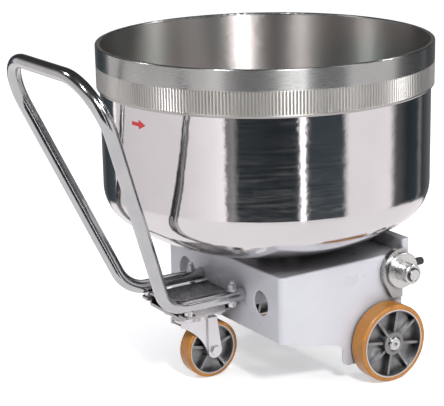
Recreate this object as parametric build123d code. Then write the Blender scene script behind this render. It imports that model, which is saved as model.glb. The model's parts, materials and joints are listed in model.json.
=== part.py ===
import os
from math import acos, asin, atan2, cos, degrees, hypot, pi, radians, sin, sqrt, tan

from build123d import *

# Removable dough bowl on a three-wheeled truck. Millimetres, Z up, floor at Z = 0.
# The handle is at -X, the docking end at +X. Seen from the handle, left is +Y.
# Every piece is drawn with the bowl axis at X = 0, and moved to the middle of the footprint at export.

# Bowl
bowl_r = 412.0
bowl_wall = 4.0
rim_z = 849.0
knuckle_r = 90.0
crown_r = 440.0
pad_r = 110.0

# Drive band on the bowl
band_thick = 8.0
band_height = 112.0
band_cap = 6.0
band_round = 2.5
band_chamfer = 5.0
tooth_pitch = 8.0
tooth_depth = 2.4
tooth_length = 54.0
tooth_lip = 8.0
tooth_land = 0.4

# Base plate, spindle and bearings
base_thick = 8.0
turn_gap = 1.0
spindle_r = 30.0
spindle_neck_r = 22.0
bearing_r = 50.0
bearing_thick = 20.0
housing_r = 62.0
housing_depth = 100.0
collar_r = 92.0
collar_thick = 6.0
gusset_thick = 6.0
gusset_reach = 60.0
spindle_nut_r = 40.0
spindle_nut_thick = 14.0

# Chassis box
deck_z = 317.0
chassis_front = 140.0
chassis_rear = 233.0
chassis_half = 260.0
sheet = 5.0
corner_r = 14.0
deck_round = 6.0
front_skirt_z = 150.0
rear_skirt_z = 170.0
skirt_drop = 43.0
lobe_front_x = 48.0
lobe_neck = 12.0
lobe_z = 50.0
lobe_round = 20.0
front_hole_r = 32.0
front_hole_y = 174.0
front_hole_z = 232.0

# Docking beam and buffers
beam_rise = 33.0
beam_height = 110.0
beam_depth = 21.0
beam_sheet = 5.0
buffer_r = 10.0
buffer_length = 24.0
buffer_stud_r = 5.0
buffer_stud_length = 62.0
buffer_y = 245.0
buffer_z = 275.0

# Docking plate, pin and roller on each side
dock_x = 220.0
dock_z = 274.0
dock_plate_r = 58.0
dock_plate_thick = 15.0
dock_foot_z = 205.0
dock_foot_width = 41.0
dock_foot_corner = 8.0
dock_foot_back = 9.0
dock_foot_neck = 34.0
dock_flange_r = 46.0
dock_flange_thick = 8.0
dock_pin_r = 14.0
dock_spigot_r = 10.0
dock_roller_r = 25.0
dock_roller_length = 37.0
dock_roller_chamfer = 1.5

# Handle tube
tube_r = 16.85
tube_wall = 2.6
tube_y = 96.0
tube_z = 237.0
handle_knee_x = 361.0
handle_top_x = 609.0
handle_top_y = 248.0
handle_top_z = 847.0
knee_bend = 80.0
top_bend = 115.0

# Caster carrier between the two runs of the tube, and the handle's bolts
plate_thick = 8.0
carrier_sheet = 6.0
carrier_top_z = 225.0
carrier_front = 306.0
carrier_side_back = 182.0
carrier_foot_back = 158.0
carrier_side_gap = 0.5
carrier_fold = 6.0
carrier_lip = 9.0
ear_top_z = 211.0
ear_front = 315.0
ear_length = 32.0
ear_corner = 8.0
stub_length = 60.0
handle_bolt_r = 6.0
handle_bolt_front = 299.0
handle_bolt_back = 172.0
handle_bolt_stick = 7.0
spacer_wall = 5.0
saddle_rise = 3.5

# Main wheels
wheel_r = 100.0
wheel_width = 46.0
wheel_tread_thick = 12.0
wheel_gap = 5.0
wheel_x = 169.0
wheel_spokes = 8
wheel_rim_wall = 4.0
wheel_rib_turn = -10.0
rib_thick = 7.0
web_thick = 5.0
axle_r = 12.5
main_bearing_r = 20.0
main_bearing_width = 12.0
main_hub_r = 29.5
hub_recess = 5.0
boss_r = 24.0
boss_depth = 25.0
end_screw_r = 16.5
end_screw_head = 8.0
end_screw_shank = 6.0
washer_thick = 2.5

# Caster
caster_r = 75.0
caster_height = 190.0
caster_width = 40.0
caster_tread_thick = 10.0
caster_x = 228.0
caster_trail = 44.0
caster_spokes = 5
caster_rim_wall = 4.0
caster_rib_turn = 20.0
caster_hub_r = 21.0
caster_bearing_r = 15.0
caster_bearing_width = 10.0
caster_axle_r = 8.0
caster_plate_length = 136.0
caster_plate_width = 110.0
caster_plate_thick = 6.0
caster_hole_x = 52.5
caster_hole_y = 40.0
caster_bolt_r = 5.0
crown_thick = 6.0
crown_gap = 10.0
crown_disc_r = 50.0
leg_thick = 4.5
leg_bar_thick = 6.0
leg_bar_half = 20.0
leg_bar_top = 27.0
cheek_bow = 11.0
cheek_start = 8.0
leg_clearance = 2.5
lower_cup_r = 42.0
lower_cup_height = 13.0
upper_cup_r = 37.0
kingpin_r = 10.0
kingpin_head_r = 16.0
kingpin_head = 6.0

# Clearances
run_fit = 0.05
seat_gap = 0.3
swivel_gap = 0.5

# Derived places
band_r = bowl_r + band_thick
base_z = deck_z + collar_thick + turn_gap
bowl_z = base_z + base_thick
band_z = rim_z - band_height
beam_z = deck_z + beam_rise
wheel_inner_y = chassis_half + wheel_gap
wheel_outer_y = wheel_inner_y + wheel_width
caster_plate_z = caster_height
plate_z = caster_plate_z + plate_thick
carrier_half = tube_y - tube_r - carrier_side_gap
caster_wheel_x = caster_x - caster_trail
crown_z = 2 * caster_r + crown_gap
middle_x = (band_r - handle_top_x - tube_r) / 2
sides = (("left", 1), ("right", -1))


def disc_z(r, z0, z1, x=0.0, y=0.0):
    """A cylinder standing along Z from z0 to z1."""
    return Pos(x, y, (z0 + z1) / 2) * Cylinder(r, abs(z1 - z0))


def disc_y(r, y0, y1, x=0.0, z=0.0):
    """A cylinder lying along Y from y0 to y1."""
    return Pos(x, (y0 + y1) / 2, z) * Rot(X=90) * Cylinder(r, abs(y1 - y0))


def disc_x(r, x0, x1, y=0.0, z=0.0):
    """A cylinder lying along X from x0 to x1."""
    return Pos((x0 + x1) / 2, y, z) * Rot(Y=90) * Cylinder(r, abs(x1 - x0))


def block(x0, x1, y0, y1, z0, z1):
    """A box between two corners."""
    size = (abs(x1 - x0), abs(y1 - y0), abs(z1 - z0))
    return Pos((x0 + x1) / 2, (y0 + y1) / 2, (z0 + z1) / 2) * Box(*size)


def hexagon_z(across, z0, z1, x=0.0, y=0.0):
    """A hexagon nut or head along Z, by its width across flats."""
    face = RegularPolygon(across / 2, 6, major_radius=False)
    return Pos(x, y, z0) * extrude(face, z1 - z0)


def hexagon_y(across, y0, y1, x=0.0, z=0.0):
    """A hexagon nut or head along Y."""
    face = RegularPolygon(across / 2, 6, major_radius=False)
    low, high = min(y0, y1), max(y0, y1)
    return Pos(x, high, z) * Rot(X=90) * extrude(face, high - low)


def side_profile(wire_points, y0, y1):
    """A prism whose outline is drawn in X and Z and which runs along Y from y0 to y1."""
    face = make_face(Polyline(*wire_points, close=True))
    low, high = min(y0, y1), max(y0, y1)
    return Pos(0, high, 0) * Rot(X=90) * extrude(face, high - low)


def bowl_body(inset):
    """The bowl's filled form, set in by a distance: flat pad, crown, knuckle and upright wall."""
    wall_r = bowl_r - inset
    crown = crown_r - inset
    knuckle = knuckle_r - inset
    crown_centre = (pad_r, bowl_z + crown_r)
    knuckle_x = bowl_r - knuckle_r
    drop = sqrt((crown_r - knuckle_r) ** 2 - (knuckle_x - pad_r) ** 2)
    knuckle_z = crown_centre[1] - drop
    share = (knuckle_x - pad_r) / (crown_r - knuckle_r)
    meet = asin(share)
    half = meet / 2
    crown_end = (pad_r + crown * sin(meet), crown_centre[1] - crown * cos(meet))
    crown_mid = (pad_r + crown * sin(half), crown_centre[1] - crown * cos(half))
    turn = (meet + pi / 2) / 2
    knuckle_mid = (knuckle_x + knuckle * sin(turn), knuckle_z - knuckle * cos(turn))
    start = (pad_r, bowl_z + inset)
    top = rim_z - band_cap + inset
    outline = Line((0, start[1]), start)
    outline += ThreePointArc(start, crown_mid, crown_end)
    outline += ThreePointArc(crown_end, knuckle_mid, (wall_r, knuckle_z))
    outline += Line((wall_r, knuckle_z), (wall_r, top))
    outline += Line((wall_r, top), (0, top))
    outline += Line((0, top), (0, start[1]))
    face = Plane.XZ * make_face(outline)
    return revolve(face, Axis.Z)


def bowl_shell():
    """Pressed stainless shell, open at the top."""
    return bowl_body(0.0) - bowl_body(bowl_wall)


def band_teeth():
    """The toothed strip: one upright groove per pitch, all the way round."""
    count = round(2 * pi * band_r / tooth_pitch)
    step = 2 * pi / count
    root_r = band_r - tooth_depth
    points = []
    for i in range(count):
        for share, r in ((0.0, root_r), ((1 - tooth_land) / 2, band_r), ((1 + tooth_land) / 2, band_r)):
            angle = (i + share) * step
            points.append((r * cos(angle), r * sin(angle)))
    return make_face(Polyline(*points, close=True))


def drive_band():
    """Thick ring welded round the rim, toothed below, with a cap over the edge of the shell."""
    tooth_z = band_z + tooth_lip
    inner = bowl_r - bowl_wall
    cap_z = rim_z - band_cap
    outline = Polyline((inner, cap_z), (bowl_r, cap_z), (bowl_r, tooth_z + tooth_length),
                       (band_r, tooth_z + tooth_length), (band_r, rim_z), (inner, rim_z), close=True)
    upper = revolve(Plane.XZ * make_face(outline), Axis.Z)
    rims = upper.edges().filter_by(GeomType.CIRCLE).filter_by_position(Axis.Z, rim_z - 0.1, rim_z + 0.1)
    upper = fillet(rims, band_round)
    lower = disc_z(band_r, band_z, tooth_z) - disc_z(bowl_r, band_z - 1, tooth_z + 1)
    foot = lower.edges().filter_by_position(Axis.Z, band_z - 0.1, band_z + 0.1).sort_by(Edge.length)[-1]
    lower = chamfer(foot, band_chamfer)
    strip = Pos(0, 0, tooth_z) * extrude(band_teeth(), tooth_length)
    strip -= disc_z(bowl_r, tooth_z - 1, tooth_z + tooth_length + 1)
    return upper + strip + lower


def base_plate():
    """Round plate welded under the bowl, bored for the spindle neck."""
    plate = disc_z(pad_r, base_z, bowl_z)
    plate -= disc_z(spindle_neck_r, base_z - 1, bowl_z + 1)
    return chamfer(plate.edges().filter_by_position(Axis.Z, base_z - 0.1, base_z + 0.1).sort_by(Edge.length)[-1], 2)


def housing_foot_z():
    """Lower end of the bearing housing."""
    return deck_z - housing_depth


def bearing_housing():
    """Turned housing let into the deck, with a collar on top and four gussets under the deck."""
    foot = housing_foot_z()
    under = deck_z - sheet
    body = disc_z(housing_r, foot, deck_z) + disc_z(collar_r, deck_z, deck_z + collar_thick)
    for i in range(4):
        web = [(housing_r - 2, under), (housing_r + gusset_reach, under), (housing_r + gusset_reach, under - 15),
               (housing_r, foot + 10), (housing_r - 2, foot + 10)]
        body += Rot(Z=45 + 90 * i) * side_profile(web, -gusset_thick / 2, gusset_thick / 2)
    body -= disc_z(spindle_r + 3, foot - 1, deck_z + collar_thick + 1)
    body -= disc_z(bearing_r, foot - 1, foot + bearing_thick)
    body -= disc_z(bearing_r, deck_z + collar_thick - bearing_thick, deck_z + collar_thick + 1)
    return body


def spindle_bearing(z):
    """Bearing ring standing on z, with a face groove between its races."""
    ring = disc_z(bearing_r, z, z + bearing_thick) - disc_z(spindle_r + run_fit, z - 1, z + bearing_thick + 1)
    middle = (bearing_r + spindle_r) / 2
    groove = disc_z(middle + 4, z + bearing_thick - 2, z + bearing_thick + 1)
    groove -= disc_z(middle - 4, z, z + bearing_thick + 2)
    return ring - groove


def bowl_spindle():
    """Spindle turned with a neck that fits the base plate and a thread at its foot for the nut."""
    foot = housing_foot_z() - seat_gap
    thread = spindle_nut_thick + 2
    body = disc_z(spindle_r, foot, base_z) + disc_z(spindle_neck_r, base_z, bowl_z)
    return body + disc_z(spindle_neck_r, foot - thread, foot)


def spindle_nut():
    """Slotted ring nut under the lower bearing."""
    top = housing_foot_z() - seat_gap
    nut = disc_z(spindle_nut_r, top - spindle_nut_thick, top)
    nut -= disc_z(spindle_neck_r, top - spindle_nut_thick - 1, top + 1)
    for i in range(4):
        slot = block(spindle_nut_r - 4, spindle_nut_r + 4, -4, 4, top - spindle_nut_thick - 1, top + 1)
        nut -= Rot(Z=90 * i) * slot
    return nut


def chassis_box():
    """Folded sheet box: deck, front wall, rear wall and two sides that step down to the axle lobes."""
    knee_z = front_skirt_z - skirt_drop
    outline = [(-chassis_front, front_skirt_z), (-chassis_front, deck_z), (chassis_rear, deck_z),
               (chassis_rear, lobe_z), (lobe_front_x, lobe_z), (lobe_front_x, knee_z - lobe_neck),
               (lobe_front_x - lobe_neck, knee_z)]
    body = side_profile(outline, -chassis_half, chassis_half)
    corners = body.edges().filter_by(Axis.Z).filter_by_position(Axis.X, -chassis_front - 1, -chassis_front + 1)
    body = fillet(corners, corner_r)
    lobes = body.edges().filter_by(Axis.Y).filter_by_position(Axis.Z, lobe_z - 1, lobe_z + 1)
    body = fillet(lobes, lobe_round)
    tops = body.edges().filter_by_position(Axis.Z, deck_z - 1, deck_z + 1)
    body = fillet(tops, deck_round)
    room = block(-chassis_front + sheet, chassis_rear - sheet, -chassis_half + sheet, chassis_half - sheet,
                 0, deck_z - sheet)
    inner_corners = room.edges().filter_by(Axis.Z).filter_by_position(Axis.X, -chassis_front, 0)
    body -= fillet(inner_corners, corner_r - sheet)
    inside_half = chassis_half - sheet
    body -= block(chassis_rear - sheet - 1, chassis_rear + 1, -inside_half, inside_half, 0, rear_skirt_z)
    for side, s in sides:
        body -= disc_x(front_hole_r, -chassis_front - 1, -chassis_front + sheet + 1, s * front_hole_y, front_hole_z)
        body -= disc_y(boss_r, s * (chassis_half - sheet - 1), s * (chassis_half + 1), wheel_x, wheel_r)
    return body - disc_z(housing_r, deck_z - sheet - 1, deck_z + 1)


def docking_beam():
    """Folded channel across the rear, open to the back, standing proud of the deck."""
    back = chassis_rear + beam_depth
    foot = beam_z - beam_height
    body = block(chassis_rear, back, -chassis_half, chassis_half, foot, beam_z)
    edges = body.edges().filter_by_position(Axis.X, chassis_rear - 0.1, chassis_rear + 0.1)
    body = fillet(edges, beam_sheet)
    inside_half = chassis_half - beam_sheet
    body -= block(chassis_rear + beam_sheet, back + 1, -inside_half, inside_half, foot + beam_sheet, beam_z - beam_sheet)
    for side, s in sides:
        body -= disc_x(buffer_stud_r, chassis_rear - 1, back, s * buffer_y, buffer_z)
    return body


def buffer_stud(s):
    """Stud with a hexagon collar that carries a buffer."""
    web = chassis_rear + beam_sheet
    face = Rot(Y=90) * extrude(RegularPolygon(1.7 * buffer_stud_r, 6, major_radius=False), 8)
    body = disc_x(buffer_stud_r, chassis_rear, web + buffer_stud_length, s * buffer_y, buffer_z)
    return body + Pos(web, s * buffer_y, buffer_z) * face


def rear_buffer(s):
    """Moulded rubber buffer, domed at its free end."""
    start = chassis_rear + beam_sheet + buffer_stud_length - buffer_length / 2
    body = disc_x(buffer_r, start, start + buffer_length, s * buffer_y, buffer_z)
    nose = body.edges().filter_by_position(Axis.X, start + buffer_length - 0.1, start + buffer_length + 0.1)
    body = fillet(nose, buffer_r * 0.5)
    return body - disc_x(buffer_stud_r, start - 1, start + buffer_length / 2, s * buffer_y, buffer_z)


def docking_plate(s):
    """Welded side plate, round above, running straight down to its foot, cut off level with the chassis."""
    outer = chassis_half + dock_plate_thick
    corner_x = chassis_rear - dock_foot_width
    across, down = corner_x - dock_x, dock_foot_z - dock_z
    turn = atan2(down, across) - acos(dock_plate_r / hypot(across, down))
    touch = (dock_x + dock_plate_r * cos(turn), dock_z + dock_plate_r * sin(turn))
    foot = side_profile([(dock_x, dock_z), touch, (corner_x, dock_foot_z), (chassis_rear, dock_foot_z),
                         (chassis_rear, dock_z)], s * chassis_half, s * outer)
    corner = foot.edges().filter_by(Axis.Y).filter_by_position(Axis.X, corner_x - 0.1, corner_x + 0.1)
    body = disc_y(dock_plate_r, s * chassis_half, s * outer, dock_x, dock_z) + fillet(corner, dock_foot_corner)
    body -= block(chassis_rear, chassis_rear + 2 * dock_plate_r, s * chassis_half, s * outer, 0, deck_z + beam_height)
    body -= block(chassis_rear - dock_foot_back, chassis_rear + 1, s * chassis_half, s * outer, 0, dock_z - dock_foot_neck)
    return body - disc_y(dock_spigot_r, s * (chassis_half - 1), s * (outer + 1), dock_x, dock_z)


def dock_roller_y():
    """Distance of the roller's inner end from the middle of the truck."""
    return chassis_half + dock_plate_thick + dock_flange_thick + seat_gap


def docking_pin(s):
    """Turned pin: a spigot welded into the docking plate, a wide flange and a grooved free end."""
    start = chassis_half + dock_plate_thick
    roller_end = dock_roller_y() + dock_roller_length
    body = disc_y(dock_flange_r, s * start, s * (start + dock_flange_thick), dock_x, dock_z)
    body = chamfer(body.edges().filter_by(GeomType.CIRCLE), 1.5)
    body += disc_y(dock_spigot_r, s * chassis_half, s * start, dock_x, dock_z)
    body += disc_y(dock_pin_r, s * start, s * (roller_end + 6), dock_x, dock_z)
    groove = disc_y(dock_pin_r + 2, s * (roller_end + seat_gap), s * (roller_end + seat_gap + 2), dock_x, dock_z)
    groove -= disc_y(dock_pin_r - 1.5, s * roller_end, s * (roller_end + 4), dock_x, dock_z)
    return body - groove


def docking_roller(s):
    """Plain hardened roller, running on the pin, that the docking hook takes hold of."""
    start = dock_roller_y()
    end = start + dock_roller_length
    body = disc_y(dock_roller_r, s * start, s * end, dock_x, dock_z)
    body = chamfer(body.edges().filter_by(GeomType.CIRCLE), dock_roller_chamfer)
    return body - disc_y(dock_pin_r + run_fit, s * (start - 1), s * (end + 1), dock_x, dock_z)


def docking_circlip(s):
    """Open retaining ring in the pin's groove."""
    start = dock_roller_y() + dock_roller_length + seat_gap
    ring = disc_y(dock_pin_r + 4, s * start, s * (start + 2), dock_x, dock_z)
    ring -= disc_y(dock_pin_r - 1.5, s * (start - 1), s * (start + 3), dock_x, dock_z)
    return ring - block(dock_x - 4, dock_x + 4, s * (start - 1), s * (start + 3), dock_z - dock_pin_r - 6, dock_z)


def bend(a, b, c, radius):
    """Tangent points and middle point of a bend of that radius at b, between the lines to a and c."""
    a, b, c = Vector(*a), Vector(*b), Vector(*c)
    u = (a - b).normalized()
    v = (c - b).normalized()
    half = radians(u.get_angle(v)) / 2
    reach = radius / tan(half)
    centre = b + (u + v).normalized() * (radius / sin(half))
    middle = centre + (b - centre).normalized() * radius
    return b + u * reach, middle, b + v * reach


def tube_sweep(radius):
    """A round bar of that radius along the handle's centre line."""
    run = [(-chassis_front, -tube_y, tube_z), (-handle_knee_x, -tube_y, tube_z),
           (-handle_top_x, -handle_top_y, handle_top_z)]
    run += [(x, -y, z) for x, y, z in reversed(run)]
    radii = [knee_bend, top_bend, top_bend, knee_bend]
    start = Vector(*run[0])
    edges = []
    for i, size in enumerate(radii):
        first, middle, last = bend(run[i], run[i + 1], run[i + 2], size)
        edges.append(Line(start, first))
        edges.append(ThreePointArc(first, middle, last))
        start = last
    edges.append(Line(start, Vector(*run[-1])))
    path = Wire([e for edge in edges for e in edge.edges()])
    section = Plane(origin=run[0], z_dir=(-1, 0, 0)) * Circle(radius)
    return sweep(section, path=path)


def handle_tube():
    """Bent tube, slipped over the two stubs and drilled for its four bolts."""
    body = tube_sweep(tube_r) - tube_sweep(tube_r - tube_wall)
    for side, s in sides:
        body -= disc_z(handle_bolt_r, tube_z - 2 * tube_r, tube_z, -handle_bolt_front, s * tube_y)
        body -= disc_z(handle_bolt_r, tube_z - 2 * tube_r, tube_z + 2 * tube_r, -handle_bolt_back, s * tube_y)
    return body


def handle_stub(s):
    """Round stub on the front wall that the tube is slipped over."""
    body = disc_x(tube_r - tube_wall - run_fit, -chassis_front - stub_length, -chassis_front, s * tube_y, tube_z)
    body = chamfer(body.edges().filter_by_position(Axis.X, -chassis_front - stub_length - 1, -chassis_front - 1), 2)
    return body - disc_z(handle_bolt_r, tube_z - tube_r, tube_z + tube_r, -handle_bolt_back, s * tube_y)


def carrier_ear(s):
    """Ear at the carrier's front that reaches under the tube."""
    end = s * (tube_y + handle_bolt_r + spacer_wall)
    body = block(-ear_front, -ear_front + ear_length, s * (carrier_half - carrier_sheet / 2), end,
                 ear_top_z - carrier_sheet, ear_top_z)
    corners = body.edges().filter_by(Axis.Z).filter_by_position(Axis.Y, min(end, end) - 0.1, max(end, end) + 0.1)
    body = fillet(corners, ear_corner)
    return body - disc_z(handle_bolt_r, ear_top_z - 2 * carrier_sheet, ear_top_z + 1, -handle_bolt_front, s * tube_y)


def handle_plate():
    """Folded box between the tubes: the caster is bolted to its foot, its top runs back to the front wall."""
    room = carrier_half - carrier_sheet
    body = block(-carrier_front, -chassis_front, -carrier_half, carrier_half, caster_plate_z, carrier_top_z)
    body = fillet(body.edges().filter_by(Axis.X), carrier_fold)
    body -= block(-carrier_front - 1, -chassis_front + 1, -room, room, plate_z, carrier_top_z - carrier_sheet)
    for side, s in sides:
        body -= block(-carrier_side_back, -chassis_front + 1, s * room, s * (carrier_half + 1),
                      0, carrier_top_z - carrier_lip)
        body += carrier_ear(s)
    body -= block(-carrier_foot_back, -chassis_front + 1, -carrier_half, carrier_half, 0, plate_z + 1)
    for x, y in caster_bolt_places():
        body -= disc_z(caster_bolt_r, caster_plate_z - 1, plate_z + 1, x, y)
    return body


def saddle(x, y):
    """The room that the handle tube takes over one bolt."""
    reach = 3 * tube_r
    return disc_x(tube_r + run_fit, x - reach, x + reach, y, tube_z)


def spacer(low, x, y):
    """Spacer ring on a handle bolt, scooped to sit on the tube."""
    r = handle_bolt_r + spacer_wall
    ring = disc_z(r, low, tube_z, x, y) - disc_z(handle_bolt_r, low - 1, tube_z + 1, x, y)
    return ring - saddle(x, y)


def rear_seat_z():
    """Height at which the rear bolt's head presses on its saddle, under the tube."""
    return tube_z - tube_r - saddle_rise


def handle_spacers():
    """Two spacers on the ears, two saddles under the heads of the rear bolts."""
    pieces = [spacer(ear_top_z, -handle_bolt_front, s * tube_y) for side, s in sides]
    return group(pieces + [spacer(rear_seat_z(), -handle_bolt_back, s * tube_y) for side, s in sides])


def handle_bolt(x, y, seat, top):
    """Hexagon bolt from below, its head pressing up against the seat."""
    return hexagon_z(3 * handle_bolt_r, seat - 7.5, seat, x, y) + disc_z(handle_bolt_r, seat, top, x, y)


def inner_nut_z():
    """Lowest place of a nut's flat face inside the tube, where its corners touch the wall."""
    bore = tube_r - tube_wall
    corner = 3 * handle_bolt_r / 2 / cos(pi / 6)
    return tube_z - sqrt(bore ** 2 - corner ** 2)


def handle_bolts():
    """Front bolts up into the nuts inside the tube, rear bolts right through tube and stub."""
    front_top = inner_nut_z() + 10
    rear_top = tube_z + tube_r + 3 + 10 + handle_bolt_stick
    front = [handle_bolt(-handle_bolt_front, s * tube_y, ear_top_z - carrier_sheet, front_top) for side, s in sides]
    return group(front + [handle_bolt(-handle_bolt_back, s * tube_y, rear_seat_z(), rear_top) for side, s in sides])


def inner_nut(s):
    """Weld nut inside the tube."""
    low = inner_nut_z()
    nut = hexagon_z(3 * handle_bolt_r, low, low + 10, -handle_bolt_front, s * tube_y)
    return nut - disc_z(handle_bolt_r, low - 1, low + 11, -handle_bolt_front, s * tube_y)


def top_nut(s):
    """Nut on a saddle washer that fits the tube."""
    x, y = -handle_bolt_back, s * tube_y
    seat = tube_z + tube_r + 3
    body = disc_z(2 * handle_bolt_r, tube_z + tube_r - 5, seat, x, y) - saddle(x, y)
    body += hexagon_z(3 * handle_bolt_r, seat, seat + 10, x, y)
    return body - disc_z(handle_bolt_r, tube_z, seat + 20, x, y)


def handle_nuts():
    """Two nuts inside the tube, two on top of it."""
    return group([inner_nut(s) for side, s in sides] + [top_nut(s) for side, s in sides])


def caster_bolt_places():
    """Where the four caster bolts stand."""
    return [(-caster_x + i * caster_hole_x, j * caster_hole_y) for i in (-1, 1) for j in (-1, 1)]


def caster_plate():
    """Top plate of the caster, with the pressed upper swivel cup below it."""
    low = caster_plate_z - caster_plate_thick
    half_x = caster_plate_length / 2
    half_y = caster_plate_width / 2
    body = block(-caster_x - half_x, -caster_x + half_x, -half_y, half_y, low, caster_plate_z)
    body = fillet(body.edges().filter_by(Axis.Z), 10)
    cup_z = crown_z + crown_thick + lower_cup_height + swivel_gap
    cup = disc_z(upper_cup_r, cup_z, low, -caster_x)
    cup = chamfer(cup.edges().filter_by_position(Axis.Z, cup_z - 0.1, cup_z + 0.1), 3)
    body += cup
    for x, y in caster_bolt_places():
        body -= disc_z(caster_bolt_r, low - 1, caster_plate_z + 1, x, y)
    return body - disc_z(kingpin_r, cup_z - 1, caster_plate_z + 1, -caster_x)


def caster_bolt(x, y):
    """Low round-headed bolt through both plates."""
    head = disc_z(2.1 * caster_bolt_r, plate_z, plate_z + 4, x, y)
    head = fillet(head.edges().filter_by_position(Axis.Z, plate_z + 3.9, plate_z + 4.1), 2.5)
    low = caster_plate_z - caster_plate_thick
    return head + disc_z(caster_bolt_r, low - 12, plate_z, x, y)


def caster_bolt_nut(x, y):
    """Nut under the caster plate."""
    low = caster_plate_z - caster_plate_thick
    nut = hexagon_z(3.4 * caster_bolt_r, low - 8, low, x, y)
    return nut - disc_z(caster_bolt_r, low - 9, low + 1, x, y)


def kingpin():
    """Pin that the fork swivels on, with its head under the crown."""
    head_top = crown_z - seat_gap
    body = disc_z(kingpin_r, head_top, caster_plate_z, -caster_x)
    return body + disc_z(kingpin_head_r, head_top - kingpin_head, head_top, -caster_x)


def cheek(s):
    """Inner plate of a leg, its front edge bowed inwards from the crown down to the axle."""
    inner = caster_width / 2 + leg_clearance
    x, z = -caster_wheel_x, caster_r
    top = crown_z + crown_thick
    front = -caster_x - crown_disc_r
    start, end = (front, crown_z - cheek_start), (x - leg_bar_half, z)
    shift = cheek_bow / sqrt(2)
    middle = ((start[0] + end[0]) / 2 + shift, (start[1] + end[1]) / 2 + shift)
    outline = ThreePointArc(start, middle, end) + Line(end, (x + leg_bar_half, z))
    back = x - leg_bar_half + leg_bar_top
    outline += Line((x + leg_bar_half, z), (back, top)) + Line((back, top), (front, top)) + Line((front, top), start)
    low, high = min(s * inner, s * (inner + leg_thick)), max(s * inner, s * (inner + leg_thick))
    plate = Pos(0, high, 0) * Rot(X=90) * extrude(make_face(outline), high - low)
    return plate + disc_y(leg_bar_half, low, high, x, z)


def fork_leg(s):
    """One leg: the cheek with a thick upright bar welded outside it, narrower at its top."""
    start = caster_width / 2 + leg_clearance + leg_thick
    end = start + leg_bar_thick
    x, z, r = -caster_wheel_x, caster_r, leg_bar_half
    top = crown_z + crown_thick
    bar = side_profile([(x - r, z), (x + r, z), (x - r + leg_bar_top, top), (x - r, top)], s * start, s * end)
    bar += disc_y(r, s * start, s * end, x, z)
    rim = bar.faces().sort_by(Axis.Y)[-1 if s > 0 else 0].edges()
    return cheek(s) + chamfer(rim, 1.2)


def caster_fork():
    """Fork: round crown, two legs and the lower swivel cup."""
    top = crown_z + crown_thick
    inner = caster_width / 2 + leg_clearance
    half = inner + leg_thick
    crown = disc_z(crown_disc_r, crown_z, top, -caster_x)
    crown = crown & block(-caster_x - crown_disc_r, -caster_x + crown_disc_r, -half, half, 0, top)
    crown += block(-caster_x, -caster_wheel_x - leg_bar_half + leg_bar_top, -half, half, crown_z, top)
    cup = disc_z(lower_cup_r, top, top + lower_cup_height, -caster_x)
    cup = fillet(cup.edges().filter_by_position(Axis.Z, top + lower_cup_height - 0.1, top + lower_cup_height + 0.1), 3)
    body = crown + cup
    for side, s in sides:
        body += fork_leg(s)
    outer = half + leg_bar_thick
    body -= disc_y(caster_axle_r, -outer - 1, outer + 1, -caster_wheel_x, caster_r)
    return body - disc_z(kingpin_r + run_fit, crown_z - 1, top + lower_cup_height + 1, -caster_x)


def fork_outer():
    """Distance of the fork's outer face from the caster's middle."""
    return caster_width / 2 + leg_clearance + leg_thick + leg_bar_thick


def caster_axle():
    """Axle bolt with a hexagon head on the right."""
    outer = fork_outer()
    body = hexagon_y(3 * caster_axle_r, -outer - 7, -outer, -caster_wheel_x, caster_r)
    return body + disc_y(caster_axle_r, -outer, outer + 12, -caster_wheel_x, caster_r)


def caster_axle_nut():
    """Nut on the left of the fork."""
    outer = fork_outer()
    nut = hexagon_y(3 * caster_axle_r, outer, outer + 9, -caster_wheel_x, caster_r)
    return nut - disc_y(caster_axle_r, outer - 1, outer + 10, -caster_wheel_x, caster_r)


def caster_sleeve(s):
    """Sleeve that keeps the wheel off the fork leg."""
    inner = caster_width / 2 + leg_clearance
    start = caster_width / 2 - hub_recess + seat_gap
    ring = disc_y(caster_axle_r + 3, s * start, s * inner, -caster_wheel_x, caster_r)
    return ring - disc_y(caster_axle_r, s * (start - 1), s * (inner + 1), -caster_wheel_x, caster_r)


def wheel_centre(rim_r, rim_wall, width, hub_r, bearing_size, bore_r, spokes, turn, x, y, z):
    """Cast centre: rim, thin web at mid width, straight ribs on both faces, and a hub bored for bearings."""
    half = width / 2
    rim = disc_y(rim_r, -half, half) - disc_y(rim_r - rim_wall, -half - 1, half + 1)
    web = disc_y(rim_r - rim_wall, -web_thick / 2, web_thick / 2)
    hub = disc_y(hub_r, -half, half)
    body = rim + web + hub
    rib_half = half - 5
    for i in range(spokes):
        rib = block(hub_r - 3, rim_r - rim_wall / 2, -rib_half, rib_half, -rib_thick / 2, rib_thick / 2)
        body += Rot(Y=-360 * i / spokes - turn) * rib
    body -= disc_y(bearing_size[0], -half - 1, -half + hub_recess + bearing_size[1])
    body -= disc_y(bearing_size[0], half - hub_recess - bearing_size[1], half + 1)
    body -= disc_y(bore_r + 2, -half, half)
    return Pos(x, y, z) * body


def wheel_tread(outer, thick, width, x, y, z):
    """Moulded polyurethane tyre with rounded shoulders."""
    half = width / 2
    body = disc_y(outer, -half, half)
    body = fillet(body.edges().filter_by(GeomType.CIRCLE), thick * 0.45)
    body -= disc_y(outer - thick, -half - 1, half + 1)
    return Pos(x, y, z) * body


def wheel_bearings(size, bore_r, width, x, y, z):
    """The two bearings of one wheel, as separate rings."""
    half = width / 2
    rings = []
    for side, s in sides:
        start = half - hub_recess - size[1]
        ring = disc_y(size[0], s * start, s * (half - hub_recess))
        rings.append(Pos(x, y, z) * (ring - disc_y(bore_r + run_fit, s * (start - 1), s * half)))
    return group(rings)


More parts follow.
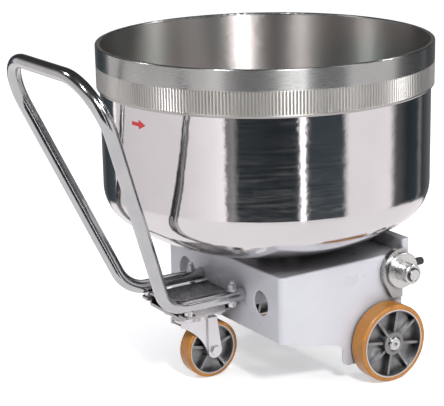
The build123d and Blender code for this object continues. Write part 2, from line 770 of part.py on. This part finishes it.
def axle_boss(s):
    """Boss welded through the side, with a snout that meets the wheel's inner bearing."""
    face = chassis_half + wheel_gap - 1
    snout = wheel_inner_y + hub_recess - seat_gap
    body = disc_y(boss_r, s * (face - boss_depth), s * face, wheel_x, wheel_r)
    body += disc_y(axle_r + 4, s * face, s * snout, wheel_x, wheel_r)
    return body - disc_y(axle_r, s * (face - boss_depth - 1), s * (snout + 1), wheel_x, wheel_r)


def axle_end_y():
    """Distance of the axle's end from the middle of the truck."""
    return wheel_outer_y - hub_recess + seat_gap


def main_axle():
    """Through axle with a tapped hole in each end."""
    end = axle_end_y()
    body = disc_y(axle_r, -end, end, wheel_x, wheel_r)
    for side, s in sides:
        body -= disc_y(end_screw_shank, s * (end - 25), s * (end + 1), wheel_x, wheel_r)
    return body


def end_washer(s):
    """Washer that keeps the wheel on the axle."""
    end = axle_end_y()
    ring = disc_y(main_bearing_r - 2, s * end, s * (end + washer_thick), wheel_x, wheel_r)
    return ring - disc_y(end_screw_shank, s * (end - 1), s * (end + washer_thick + 1), wheel_x, wheel_r)


def end_screw(s):
    """Domed socket screw in the end of the axle."""
    start = axle_end_y() + washer_thick
    end = start + end_screw_head
    head = disc_y(end_screw_r, s * start, s * end, wheel_x, wheel_r)
    rim = head.edges().filter_by_position(Axis.Y, min(s * end, s * end) - 0.1, max(s * end, s * end) + 0.1)
    head = fillet(rim, 3)
    head -= hexagon_y(10, s * (end - 5), s * (end + 1), wheel_x, wheel_r)
    return head + disc_y(end_screw_shank, s * (start - washer_thick - 25), s * start, wheel_x, wheel_r)


def group(pieces):
    """Separate solids that share one node."""
    return Compound([solid for piece in pieces for solid in piece.solids()])


def build():
    """Every node of the part, by name."""
    nodes = {}
    nodes["bowl_shell"] = bowl_shell()
    nodes["drive_band"] = drive_band()
    nodes["bowl_base_plate"] = base_plate()
    nodes["bowl_spindle"] = bowl_spindle()
    nodes["spindle_nut"] = spindle_nut()
    nodes["bearing_housing"] = bearing_housing()
    nodes["spindle_bearing_lower"] = spindle_bearing(housing_foot_z())
    nodes["spindle_bearing_upper"] = spindle_bearing(deck_z + collar_thick - bearing_thick)
    nodes["chassis_box"] = chassis_box()
    nodes["docking_beam"] = docking_beam()
    nodes["buffer_studs"] = group(buffer_stud(s) for side, s in sides)
    nodes["main_axle"] = main_axle()
    nodes["axle_bosses"] = group(axle_boss(s) for side, s in sides)
    nodes["axle_end_screws"] = group(end_screw(s) for side, s in sides)
    nodes["axle_end_washers"] = group(end_washer(s) for side, s in sides)
    nodes["docking_circlips"] = group(docking_circlip(s) for side, s in sides)
    bearing = (main_bearing_r, main_bearing_width)
    for side, s in sides:
        y = s * (wheel_inner_y + wheel_width / 2)
        nodes["rear_buffer_" + side] = rear_buffer(s)
        nodes["docking_plate_" + side] = docking_plate(s)
        nodes["docking_pin_" + side] = docking_pin(s)
        nodes["docking_roller_" + side] = docking_roller(s)
        nodes["wheel_centre_" + side] = wheel_centre(wheel_r - wheel_tread_thick, wheel_rim_wall, wheel_width,
                                                     main_hub_r, bearing, axle_r, wheel_spokes, wheel_rib_turn,
                                                     wheel_x, y, wheel_r)
        nodes["wheel_tread_" + side] = wheel_tread(wheel_r, wheel_tread_thick, wheel_width, wheel_x, y, wheel_r)
        nodes["wheel_bearings_" + side] = wheel_bearings(bearing, axle_r, wheel_width, wheel_x, y, wheel_r)
    nodes["handle_tube"] = handle_tube()
    nodes["handle_stubs"] = group(handle_stub(s) for side, s in sides)
    nodes["handle_plate"] = handle_plate()
    nodes["handle_spacers"] = handle_spacers()
    nodes["handle_bolts"] = handle_bolts()
    nodes["handle_nuts"] = handle_nuts()
    nodes["caster_plate"] = caster_plate()
    nodes["caster_bolts"] = group(caster_bolt(x, y) for x, y in caster_bolt_places())
    nodes["caster_bolt_nuts"] = group(caster_bolt_nut(x, y) for x, y in caster_bolt_places())
    nodes["kingpin"] = kingpin()
    nodes["caster_fork"] = caster_fork()
    nodes["caster_axle"] = caster_axle()
    nodes["caster_axle_nut"] = caster_axle_nut()
    nodes["caster_sleeves"] = group(caster_sleeve(s) for side, s in sides)
    small = (caster_bearing_r, caster_bearing_width)
    place = (-caster_wheel_x, 0.0, caster_r)
    nodes["caster_wheel_centre"] = wheel_centre(caster_r - caster_tread_thick, caster_rim_wall, caster_width,
                                                caster_hub_r, small, caster_axle_r, caster_spokes, caster_rib_turn,
                                                *place)
    nodes["caster_wheel_tread"] = wheel_tread(caster_r, caster_tread_thick, caster_width, *place)
    nodes["caster_wheel_bearings"] = wheel_bearings(small, caster_axle_r, caster_width, *place)
    return nodes


def main():
    """Write one file per node, moved so that the origin is under the middle of the footprint."""
    os.makedirs("parts", exist_ok=True)
    for name, shape in build().items():
        solids = [Pos(-middle_x, 0, 0) * solid for solid in shape.solids()]
        export_step(Compound(solids), "parts/" + name + ".step")


main()
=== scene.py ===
import json
from math import atan2, cos, pi, radians, sin

import bmesh
import bpy
from mathutils import Matrix, Vector


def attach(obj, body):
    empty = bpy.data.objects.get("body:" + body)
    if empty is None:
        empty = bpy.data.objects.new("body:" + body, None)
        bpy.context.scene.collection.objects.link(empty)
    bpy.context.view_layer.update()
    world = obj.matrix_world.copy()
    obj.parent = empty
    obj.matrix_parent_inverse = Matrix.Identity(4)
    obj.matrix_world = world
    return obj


# A dough bowl on its three-wheeled truck, in a white studio. Metres, Z up, floor at Z = 0.
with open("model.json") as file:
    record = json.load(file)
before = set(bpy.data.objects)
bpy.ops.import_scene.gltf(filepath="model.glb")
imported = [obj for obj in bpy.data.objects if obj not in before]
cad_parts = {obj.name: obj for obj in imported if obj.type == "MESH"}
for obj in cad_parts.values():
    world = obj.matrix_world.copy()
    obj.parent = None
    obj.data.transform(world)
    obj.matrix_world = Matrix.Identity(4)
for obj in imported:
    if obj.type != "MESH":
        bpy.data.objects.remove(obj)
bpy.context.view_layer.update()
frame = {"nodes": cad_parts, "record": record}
nodes = frame["nodes"]

# Camera: where it stands round the object, how far off, and how long its lens is
view_azimuth = -32.62
view_elevation = 15.66
view_roll = -1.195
view_distance = 3.9808
view_target = Vector((0.0075, 0.0611, 0.4268))
lens_mm = 126.56
sensor_mm = 36.0
far_clip = 200.0

# The bowl: its axis, its wall's radius, and the top of the drive band's toothed strip
bowl_x = 0.102925
bowl_r = 0.412
teeth_top_z = 0.800

# The wheels: each axis as X and Z, and the turned edge of its centre's rim as two radii
main_wheel = (0.271925, 0.100)
main_rim = (0.0860, 0.0885)
caster_wheel = (-0.081075, 0.075)
caster_rim = (0.0638, 0.0655)

# Nearly all values of a noise lie between these two
noise_low = 0.3
noise_high = 0.7


def camera():
    """The camera at the photograph's viewing angle."""
    a = radians(view_azimuth)
    e = radians(view_elevation)
    back = Vector((sin(a) * cos(e), -cos(a) * cos(e), sin(e)))
    right = Vector((cos(a), sin(a), 0.0))
    up = back.cross(right)
    r = radians(view_roll)
    right, up = right * cos(r) + up * sin(r), up * cos(r) - right * sin(r)
    data = bpy.data.cameras.new("camera")
    data.lens = lens_mm
    data.sensor_width = sensor_mm
    data.sensor_fit = "HORIZONTAL"
    data.clip_end = far_clip
    cam = bpy.data.objects.new("camera", data)
    turn = Matrix((right, up, back)).transposed().to_4x4()
    cam.matrix_world = Matrix.Translation(view_target + back * view_distance) @ turn
    bpy.context.scene.collection.objects.link(cam)
    bpy.context.scene.camera = cam


class Nodes:
    """A short way to write shader nodes."""

    def __init__(self, tree):
        self.tree = tree
        tree.nodes.clear()

    def add(self, kind, props=None, **inputs):
        """A new node. Its inputs go by name, or by place as i0, i1 and so on."""
        n = self.tree.nodes.new("ShaderNode" + kind)
        for key, value in (props or {}).items():
            setattr(n, key, value)
        for key, value in inputs.items():
            by_place = key[0] == "i" and key[1:].isdigit()
            socket = n.inputs[int(key[1:]) if by_place else key.replace("_", " ")]
            if isinstance(value, bpy.types.NodeSocket):
                self.tree.links.new(value, socket)
            else:
                socket.default_value = value
        return n

    def math(self, op, a, b=0.0):
        return self.add("Math", {"operation": op}, i0=a, i1=b).outputs[0]

    def vmath(self, op, a, b=(0, 0, 0)):
        n = self.add("VectorMath", {"operation": op}, i0=a, i1=b)
        return n.outputs["Value"] if op in ("LENGTH", "DOT_PRODUCT") else n.outputs[0]

    def xyz(self, vector):
        return self.add("SeparateXYZ", None, Vector=vector).outputs

    def noise(self, where, scale, detail=4.0, rough=0.5):
        n = self.add("TexNoise", None, Vector=where, Scale=scale, Detail=detail, Roughness=rough)
        return n.outputs[0]

    def span(self, value, low, high, to_low, to_high):
        """The value carried from one range to another, and held within it."""
        n = self.add("MapRange", None, Value=value, i1=low, i2=high, i3=to_low, i4=to_high)
        return n.outputs[0]

    def ramp(self, value, stops):
        n = self.add("ValToRGB", None, Fac=value)
        while len(n.color_ramp.elements) < len(stops):
            n.color_ramp.elements.new(0.5)
        for e, (at, colour) in zip(n.color_ramp.elements, stops):
            e.position = at
            e.color = (*colour, 1.0)
        return n.outputs[0]

    def tones(self, value, first, second, low=noise_low, high=noise_high):
        """One colour up to a low value, another from a high value on."""
        return self.ramp(value, [(low, first), (high, second)])

    def spread(self, noise, least, most):
        """A noise carried to the range between two numbers."""
        return self.span(noise, noise_low, noise_high, least, most)

    def mix(self, share, a, b):
        n = self.add("Mix", {"data_type": "RGBA"}, i0=share, i6=a, i7=b)
        return n.outputs[2]

    def bump(self, height, strength, distance=0.001, normal=None):
        n = self.add("Bump", None, Height=height, Strength=strength, Distance=distance)
        if normal is not None:
            self.tree.links.new(normal, n.inputs["Normal"])
        return n.outputs[0]


def material(name, **shader):
    """A new material with one surface shader; constants sit on the shader's own sockets."""
    mat = bpy.data.materials.new(name)
    mat.use_nodes = True
    g = Nodes(mat.node_tree)
    bsdf = g.add("BsdfPrincipled", None, **shader)
    g.add("OutputMaterial", None, Surface=bsdf.outputs[0])
    where = g.add("TexCoord").outputs["Object"]
    return mat, g, bsdf, where


def join(g, value, bsdf, socket):
    g.tree.links.new(value, bsdf.inputs[socket])


def stretched(g, where, x, y, z):
    return g.add("Mapping", None, Vector=where, Scale=(x, y, z)).outputs[0]


def from_bowl_axis(g, where):
    """The level way from the bowl's axis to a place."""
    return g.vmath("MULTIPLY", g.vmath("SUBTRACT", where, (bowl_x, 0.0, 0.0)), (1.0, 1.0, 0.0))


# How far, in metres, one radian round the bowl moves through the noise: little, so it draws out
drawn_out = 0.02


def round_bowl(g, where):
    """Places for noise by radius and height, with almost no change along the turn."""
    level = from_bowl_axis(g, where)
    turn = g.vmath("SCALE", g.vmath("NORMALIZE", level))
    turn.node.inputs["Scale"].default_value = drawn_out
    radius = g.vmath("LENGTH", level)
    push = g.add("CombineXYZ", None, X=radius, Y=g.xyz(where)[2], Z=0.0).outputs[0]
    return g.vmath("ADD", push, turn)


def upright(g):
    """Tangent for brushing that runs round the bowl: highlights stretch up and down."""
    return g.add("CombineXYZ", None, X=0.0, Y=0.0, Z=1.0).outputs[0]


def soft_edges(g, radius):
    """Shading normal that rounds off sharp edges by a small radius."""
    return g.add("Bevel", {"samples": 6}, Radius=radius).outputs[0]


def in_corners(g, reach, low, high, most, samples=8):
    """A share of painted shade that grows to its most in corners, as seen within reach, from nought
    in the open.
    """
    open_air = g.add("AmbientOcclusion", {"samples": samples}, Distance=reach).outputs["AO"]
    return g.span(open_air, low, high, most, 0.0)


def facing_in(g, where):
    """One on faces turned to the bowl's axis or up, nought on those turned out or down."""
    out = g.vmath("NORMALIZE", from_bowl_axis(g, where))
    way = g.vmath("SUBTRACT", out, (0.0, 0.0, 1.0))
    normal = g.add("TexCoord").outputs["Normal"]
    return g.math("LESS_THAN", g.vmath("DOT_PRODUCT", normal, way), 0.0)


# Roughness of the bowl's two sides and of the band, each from its smoothest to its roughest, and
# what the toothed strip adds
bowl_outside = (0.055, 0.105)
bowl_inside = (0.36, 0.44)
band_plain = (0.24, 0.31)
band_teeth_more = 0.10

# What the bowl's wear is made of: brush lines and smears
lines_share = 0.6
smear_share = 0.4

# Colours laid over a material's own
# painted sheen: the toothed strip's lighter tone stands in for its bright reflections
teeth_sheen_colour = (0.52, 0.51, 0.49, 1.0)
# painted shade: the dark laid into plated steel's corners
corner_shade_colour = (0.03, 0.03, 0.03, 1.0)
# dust, together with painted shade, for the chassis paint's corners and the deck under the bowl
dust_and_shade_colour = (0.12, 0.115, 0.115, 1.0)
# painted shade for the wheels' recesses
recess_shade_colour = (0.04, 0.04, 0.042, 1.0)
turned_colour = (0.80, 0.80, 0.80, 1.0)
scuff_colour = (0.16, 0.08, 0.03, 1.0)


def bowl_steel():
    """Stainless steel: polished outside with slight waves, rougher and stained inside."""
    mat, g, bsdf, where = material("bowl_steel", Metallic=1.0, Anisotropic=0.95)
    at = round_bowl(g, where)
    inside = facing_in(g, where)
    lines = g.noise(at, 150.0, 3.0, 0.6)
    smear = g.noise(stretched(g, where, 9.0, 9.0, 2.0), 1.0, 4.0, 0.6)
    worn = g.math("ADD", g.math("MULTIPLY", lines, lines_share),
                  g.math("MULTIPLY", smear, smear_share))
    outer = g.span(worn, 0.38, 0.62, *bowl_outside)
    inner = g.spread(worn, *bowl_inside)
    shift = g.math("MULTIPLY", g.math("SUBTRACT", inner, outer), inside)
    join(g, g.math("ADD", outer, shift), bsdf, "Roughness")
    bright = g.tones(g.noise(where, 5.0, 3.0, 0.6), (0.69, 0.68, 0.69), (0.75, 0.73, 0.74))
    stained = g.tones(g.noise(where, 3.5, 2.0, 0.5), (0.45, 0.41, 0.40), (0.38, 0.41, 0.39),
                      0.4, 0.6)
    join(g, g.mix(inside, bright, stained), bsdf, "Base Color")
    join(g, upright(g), bsdf, "Tangent")
    waves = g.noise(stretched(g, where, 17.0, 17.0, 32.0), 1.0, 3.0, 0.5)
    fine = g.noise(at, 900.0, 6.0, 0.7)
    join(g, g.bump(fine, 0.07, 0.0005, g.bump(waves, 0.55, 0.001)), bsdf, "Normal")
    return mat


def band_steel():
    """Ground stainless band; its toothed strip is duller, and lighter as a painted sheen."""
    mat, g, bsdf, where = material("band_steel", Metallic=1.0, Anisotropic=0.85)
    fine = g.noise(round_bowl(g, where), 800.0, 6.0, 0.7)
    toothed = g.math("LESS_THAN", g.xyz(where)[2], teeth_top_z)
    plain = g.spread(fine, *band_plain)
    more = g.math("MULTIPLY", toothed, band_teeth_more)
    join(g, g.math("ADD", plain, more), bsdf, "Roughness")
    dull = g.tones(g.noise(where, 6.0, 3.0, 0.6), (0.41, 0.415, 0.41), (0.49, 0.49, 0.48))
    # the toothed strip's lighter colour is a painted sheen
    join(g, g.mix(toothed, dull, teeth_sheen_colour), bsdf, "Base Color")
    join(g, upright(g), bsdf, "Tangent")
    join(g, g.bump(fine, 0.05, 0.0005), bsdf, "Normal")
    return mat


def plated_steel(name, colour, rough, grain, bump, shade_share=0.0):
    """Bright plated or polished steel with a light mottle, and painted shade darkening its corners.
    """
    mat, g, bsdf, where = material(name, Metallic=1.0)
    spots = g.noise(where, grain, 4.0, 0.5)
    join(g, g.spread(spots, *rough), bsdf, "Roughness")
    mottle = g.noise(where, 14.0, 3.0, 0.5)
    skin = g.tones(mottle, tuple(c * 0.9 for c in colour), colour)
    if shade_share:
        # painted shade: corners darkened as by the shade that falls in them
        corner_shade = in_corners(g, 0.05, 0.2, 0.8, shade_share, samples=24)
        skin = g.mix(corner_shade, skin, corner_shade_colour)
    join(g, skin, bsdf, "Base Color")
    join(g, g.bump(spots, bump, 0.0004, soft_edges(g, 0.0006)), bsdf, "Normal")
    return mat


def powder_coat():
    """Light grey powder coat with orange peel, and dust with painted shade in its corners and under
    the bowl.
    """
    mat, g, bsdf, where = material("chassis_paint", IOR=1.5, Coat_Weight=0.35, Coat_Roughness=0.12)
    cloud = g.noise(where, 6.0, 4.0, 0.6)
    clean = g.tones(cloud, (0.52, 0.52, 0.56), (0.56, 0.56, 0.60))
    # dust and painted shade: corners, and the deck under the bowl, darkened as by the bowl's shade
    dust_and_shade = in_corners(g, 0.10, 0.2, 0.7, 0.8)
    join(g, g.mix(dust_and_shade, clean, dust_and_shade_colour), bsdf, "Base Color")
    join(g, g.spread(cloud, 0.26, 0.36), bsdf, "Roughness")
    peel = g.noise(where, 420.0, 2.0, 0.5)
    join(g, g.bump(peel, 0.12, 0.0004, soft_edges(g, 0.0012)), bsdf, "Normal")
    return mat


def lathe_ring(g, where, axis, radii):
    """One where the distance from a wheel's axis lies between two radii."""
    x, z = axis
    low, high = radii
    at = g.vmath("MULTIPLY", g.vmath("SUBTRACT", where, (x, 0.0, z)), (1.0, 0.0, 1.0))
    r = g.vmath("LENGTH", at)
    return g.math("MULTIPLY", g.math("GREATER_THAN", r, low), g.math("LESS_THAN", r, high))


def cast_aluminium():
    """Cast wheel centre: grainy skin with painted shade in the recesses, and a bright turned rim
    edge.
    """
    mat, g, bsdf, where = material("wheel_aluminium", Metallic=1.0)
    rims = g.math("ADD", lathe_ring(g, where, main_wheel, main_rim),
                  lathe_ring(g, where, caster_wheel, caster_rim))
    body = g.tones(g.noise(where, 40.0, 4.0, 0.6), (0.24, 0.24, 0.25), (0.38, 0.38, 0.38))
    # painted shade: recesses darkened as by the shade that falls in them
    corner_shade = in_corners(g, 0.03, 0.3, 0.9, 0.60)
    skin = g.mix(corner_shade, body, recess_shade_colour)
    join(g, g.mix(rims, skin, turned_colour), bsdf, "Base Color")
    grain = g.noise(where, 700.0, 3.0, 0.6)
    join(g, g.spread(grain, 0.32, 0.44), bsdf, "Roughness")
    join(g, g.bump(grain, 0.25, 0.0004), bsdf, "Normal")
    return mat


def polyurethane():
    """Cast polyurethane tread, amber brown, scuffed where it rolls."""
    mat, g, bsdf, where = material("wheel_tread", IOR=1.5, Coat_Weight=0.25, Coat_Roughness=0.2,
                                   Subsurface_Weight=0.12, Subsurface_Scale=0.01)
    body = g.tones(g.noise(where, 22.0, 4.0, 0.6), (0.34, 0.135, 0.018), (0.50, 0.21, 0.03))
    scuff = g.noise(stretched(g, where, 60.0, 260.0, 60.0), 1.0, 5.0, 0.7)
    scuffed = g.span(scuff, 0.55, 0.75, 0.0, 0.45)
    join(g, g.mix(scuffed, body, scuff_colour), bsdf, "Base Color")
    join(g, g.spread(scuff, 0.3, 0.5), bsdf, "Roughness")
    join(g, g.bump(scuff, 0.1, 0.0005), bsdf, "Normal")
    return mat


def moulded_rubber():
    """Black rubber with a fine moulded grain."""
    mat, g, bsdf, where = material("buffer_rubber", IOR=1.5)
    grain = g.noise(where, 600.0, 3.0, 0.6)
    join(g, g.tones(grain, (0.012, 0.012, 0.012), (0.03, 0.03, 0.03)), bsdf, "Base Color")
    join(g, g.spread(grain, 0.5, 0.7), bsdf, "Roughness")
    join(g, g.bump(grain, 0.2, 0.0004), bsdf, "Normal")
    return mat


def sign_paint():
    """Red paint of the arrow, a little uneven."""
    mat, g, bsdf, where = material("sign_paint", IOR=1.5, Coat_Weight=0.2)
    cloud = g.noise(where, 90.0, 3.0, 0.6)
    join(g, g.tones(cloud, (0.50, 0.02, 0.02), (0.62, 0.03, 0.03)), bsdf, "Base Color")
    join(g, g.spread(cloud, 0.3, 0.45), bsdf, "Roughness")
    return mat


# Plated steels: colour, roughness from its smoothest to its roughest, how fine the spots are, how
# deep their bump is, and the most painted shade in corners where there is any
plated = {
    "handle_chrome": ((0.56, 0.57, 0.58), (0.12, 0.17), 60.0, 0.01),
    "zinc_steel": ((0.84, 0.84, 0.87), (0.27, 0.34), 60.0, 0.02),
    "bright_steel": ((0.70, 0.71, 0.70), (0.24, 0.32), 90.0, 0.02),
    # plate steel gets painted shade in its corners, standing in for the tubes' shadow on the
    # carrier
    "plate_steel": ((0.50, 0.49, 0.49), (0.24, 0.34), 90.0, 0.04, 0.8),
    "dark_steel": ((0.12, 0.12, 0.125), (0.30, 0.45), 120.0, 0.06),
}

materials = {
    "bowl_steel": bowl_steel(),
    "band_steel": band_steel(),
    "chassis_paint": powder_coat(),
    "wheel_aluminium": cast_aluminium(),
    "wheel_tread": polyurethane(),
    "buffer_rubber": moulded_rubber(),
}
for slot, looks in plated.items():
    materials[slot] = plated_steel(slot, *looks)


def dress():
    """Each CAD node gets the material of its slot in the record."""
    for part in frame["record"]["subparts"]:
        mesh = nodes[part["node"]].data
        mesh.materials.clear()
        mesh.materials.append(materials[part["material_slot"]])


# Half the floor's side, and its own glow for the camera
floor_half = 40.0
floor_glow = 0.45


def floor():
    """A wide pale floor, lit up a little for the camera. Mirrors see the studio in its place."""
    mesh = bpy.data.meshes.new("floor")
    bm = bmesh.new()
    bmesh.ops.create_grid(bm, x_segments=8, y_segments=8, size=floor_half)
    bm.to_mesh(mesh)
    bm.free()
    obj = bpy.data.objects.new("floor", mesh)
    bpy.context.scene.collection.objects.link(obj)
    mat, g, bsdf, where = material("floor", Roughness=0.9, Emission_Color=(1.0, 1.0, 1.0, 1.0))
    pale = g.tones(g.noise(where, 0.5, 2.0), (0.78, 0.78, 0.78), (0.80, 0.80, 0.80))
    join(g, pale, bsdf, "Base Color")
    seen = g.add("LightPath").outputs["Is Camera Ray"]
    join(g, g.math("MULTIPLY", seen, floor_glow), bsdf, "Emission Strength")
    mesh.materials.append(mat)
    obj.visible_glossy = False


# Studio walls that the steel mirrors: bearing from the object, in degrees round from the
# camera's side, and brightness. Those below dark_below take the dark tint, the rest the light.
studio_walls = [
    (-180, 0.25), (-150, 0.05), (-131, 0.08), (-129, 1.60), (-126, 0.72), (-60, 0.84),
    (-38, 1.05), (-30, 1.20), (-28, 0.20), (-24, 0.30), (-20, 0.03), (16, 0.02), (19.5, 0.04),
    (22, 0.30), (23, 4.00), (24, 4.00), (25, 0.30), (28, 0.05), (52, 0.06), (56, 0.95),
    (92, 1.00), (98, 0.12), (112, 0.03), (126, 0.05), (131, 0.22), (136, 0.05), (180, 0.25),
]
dark_below = 0.1
dark_tint = (0.75, 1.0, 1.15)
light_tint = (1.02, 0.97, 0.98)

# Where the walls end in the ceiling and the floor, over how much they blend, and what is there;
# all as the upward part of the way one looks, from -1 straight down to 1 straight up
ceiling_edge = 0.10
ceiling_blend = 0.25
ceiling_colour = (0.04, 0.04, 0.04, 1.0)
floor_edge = -0.34
floor_blend = 0.03
floor_colour = (0.98, 0.94, 0.95, 1.0)

# The soft sky that lights matt faces, in stops from sky_low, just below the horizon, to straight up
sky_low = -0.2
sky_tones = [(0.0, (0.10, 0.10, 0.11)), (0.4, (0.36, 0.36, 0.38)), (1.0, (1.15, 1.15, 1.2))]


def wall_stop(deg, level):
    """One stop of the walls' colour ramp, which goes once round from behind the object."""
    tint = dark_tint if level < dark_below else light_tint
    return (deg + 180) / 360, tuple(level * c for c in tint)


def studio():
    """Walls, floor and ceiling for the steel to mirror, and a soft sky for all the rest."""
    world = bpy.data.worlds.new("studio")
    world.use_nodes = True
    bpy.context.scene.world = world
    g = Nodes(world.node_tree)
    x, y, height = g.xyz(g.add("TexCoord").outputs["Generated"])
    camera_side = atan2(-cos(radians(view_azimuth)), sin(radians(view_azimuth)))
    turn = g.math("SUBTRACT", g.math("ARCTAN2", y, x), camera_side)
    turn = g.math("WRAP", turn, pi)
    turn.node.inputs[2].default_value = -pi
    seen = g.ramp(g.span(turn, -pi, pi, 0.0, 1.0), [wall_stop(*wall) for wall in studio_walls])
    up = g.span(height, ceiling_edge, ceiling_edge + ceiling_blend, 0.0, 1.0)
    seen = g.mix(up, seen, ceiling_colour)
    down = g.span(height, floor_edge - floor_blend, floor_edge, 1.0, 0.0)
    seen = g.mix(down, seen, floor_colour)
    sky = g.ramp(g.span(height, sky_low, 1.0, 0.0, 1.0), sky_tones)
    glossy = g.add("LightPath").outputs["Is Glossy Ray"]
    back = g.add("Background", None, Color=g.mix(glossy, sky, seen), Strength=1.0)
    g.add("OutputWorld", None, Surface=back.outputs[0])


lamp_aim = Vector((0.1, 0.0, 0.5))


def area_light(name, place, size, power, on_paint):
    """A round lamp turned to the bowl. Off paint, it shows in mirrors and highlights alone."""
    data = bpy.data.lights.new(name, "AREA")
    data.shape = "DISK"
    data.size = size
    data.energy = power
    obj = bpy.data.objects.new(name, data)
    obj.location = place
    obj.visible_diffuse = on_paint
    obj.rotation_euler = (lamp_aim - Vector(place)).to_track_quat("-Z", "Y").to_euler()
    bpy.context.scene.collection.objects.link(obj)


# Lamps: bearing in degrees from +X, distance from the Z axis, height, size, power in watts, and
# whether matt faces get its light
lamps = {
    "near": (-104.5, 3.0, 2.6, 0.5, 85.0, True),
    "near_streaks": (-104.5, 3.0, 2.6, 0.5, 60.0, False),
    "handle_side": (-156.0, 2.6, 3.4, 0.5, 60.0, False),
    "soft": (-66.0, 3.9, 3.0, 1.6, 20.0, True),
    "rear_right": (-22.0, 3.0, 3.0, 0.5, 30.0, True),
    "rear_left": (138.0, 3.0, 3.0, 0.5, 22.0, True),
}


def lights():
    """Each lamp at its place round the object."""
    for name, (bearing, far, height, size, power, on_paint) in lamps.items():
        a = radians(bearing)
        area_light(name, (far * cos(a), far * sin(a), height), size, power, on_paint)


def sheet_on_bowl(name, outline, radius, z, angle, thick):
    """A thin sign bent round the bowl's wall: its outline is in metres, along the wall and up."""
    bm = bmesh.new()
    rows = []
    for r in (radius, radius + thick):
        row = []
        for u, v in outline:
            a = angle + u / radius
            row.append(bm.verts.new((bowl_x + r * cos(a), r * sin(a), z + v)))
        rows.append(row)
    bm.faces.new(rows[1])
    bm.faces.new(rows[0][::-1])
    for i in range(len(outline)):
        j = (i + 1) % len(outline)
        bm.faces.new((rows[0][i], rows[0][j], rows[1][j], rows[1][i]))
    mesh = bpy.data.meshes.new(name)
    bm.to_mesh(mesh)
    bm.free()
    obj = bpy.data.objects.new(name, mesh)
    bpy.context.scene.collection.objects.link(obj)
    return obj


# The arrow: its length with the head, the head's length, half the widths of shaft and head, how
# many steps bend the shaft, where it sits, its thickness, and its gap from the wall
arrow_length = 0.048
arrow_head = 0.023
arrow_half = 0.0045
arrow_wing = 0.0115
arrow_steps = 4
arrow_z = 0.699
arrow_bearing = radians(-170.2)
arrow_thick = 0.0004
arrow_gap = 0.0002


def turn_arrow():
    """Red arrow that shows which way the bowl turns."""
    tip = arrow_length / 2
    tail = -tip
    neck = tip - arrow_head
    steps = [tail + (neck - tail) * i / arrow_steps for i in range(arrow_steps + 1)]
    outline = [(u, -arrow_half) for u in steps]
    outline += [(neck, -arrow_wing), (tip, 0.0), (neck, arrow_wing)]
    outline += [(u, arrow_half) for u in reversed(steps)]
    obj = sheet_on_bowl("turn_arrow", outline, bowl_r + arrow_gap, arrow_z, arrow_bearing,
                        arrow_thick)
    obj.data.materials.append(sign_paint())
    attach(obj, "bowl")


camera()
dress()
floor()
studio()
lights()
turn_arrow()
bpy.context.scene.view_settings.view_transform = "Standard"
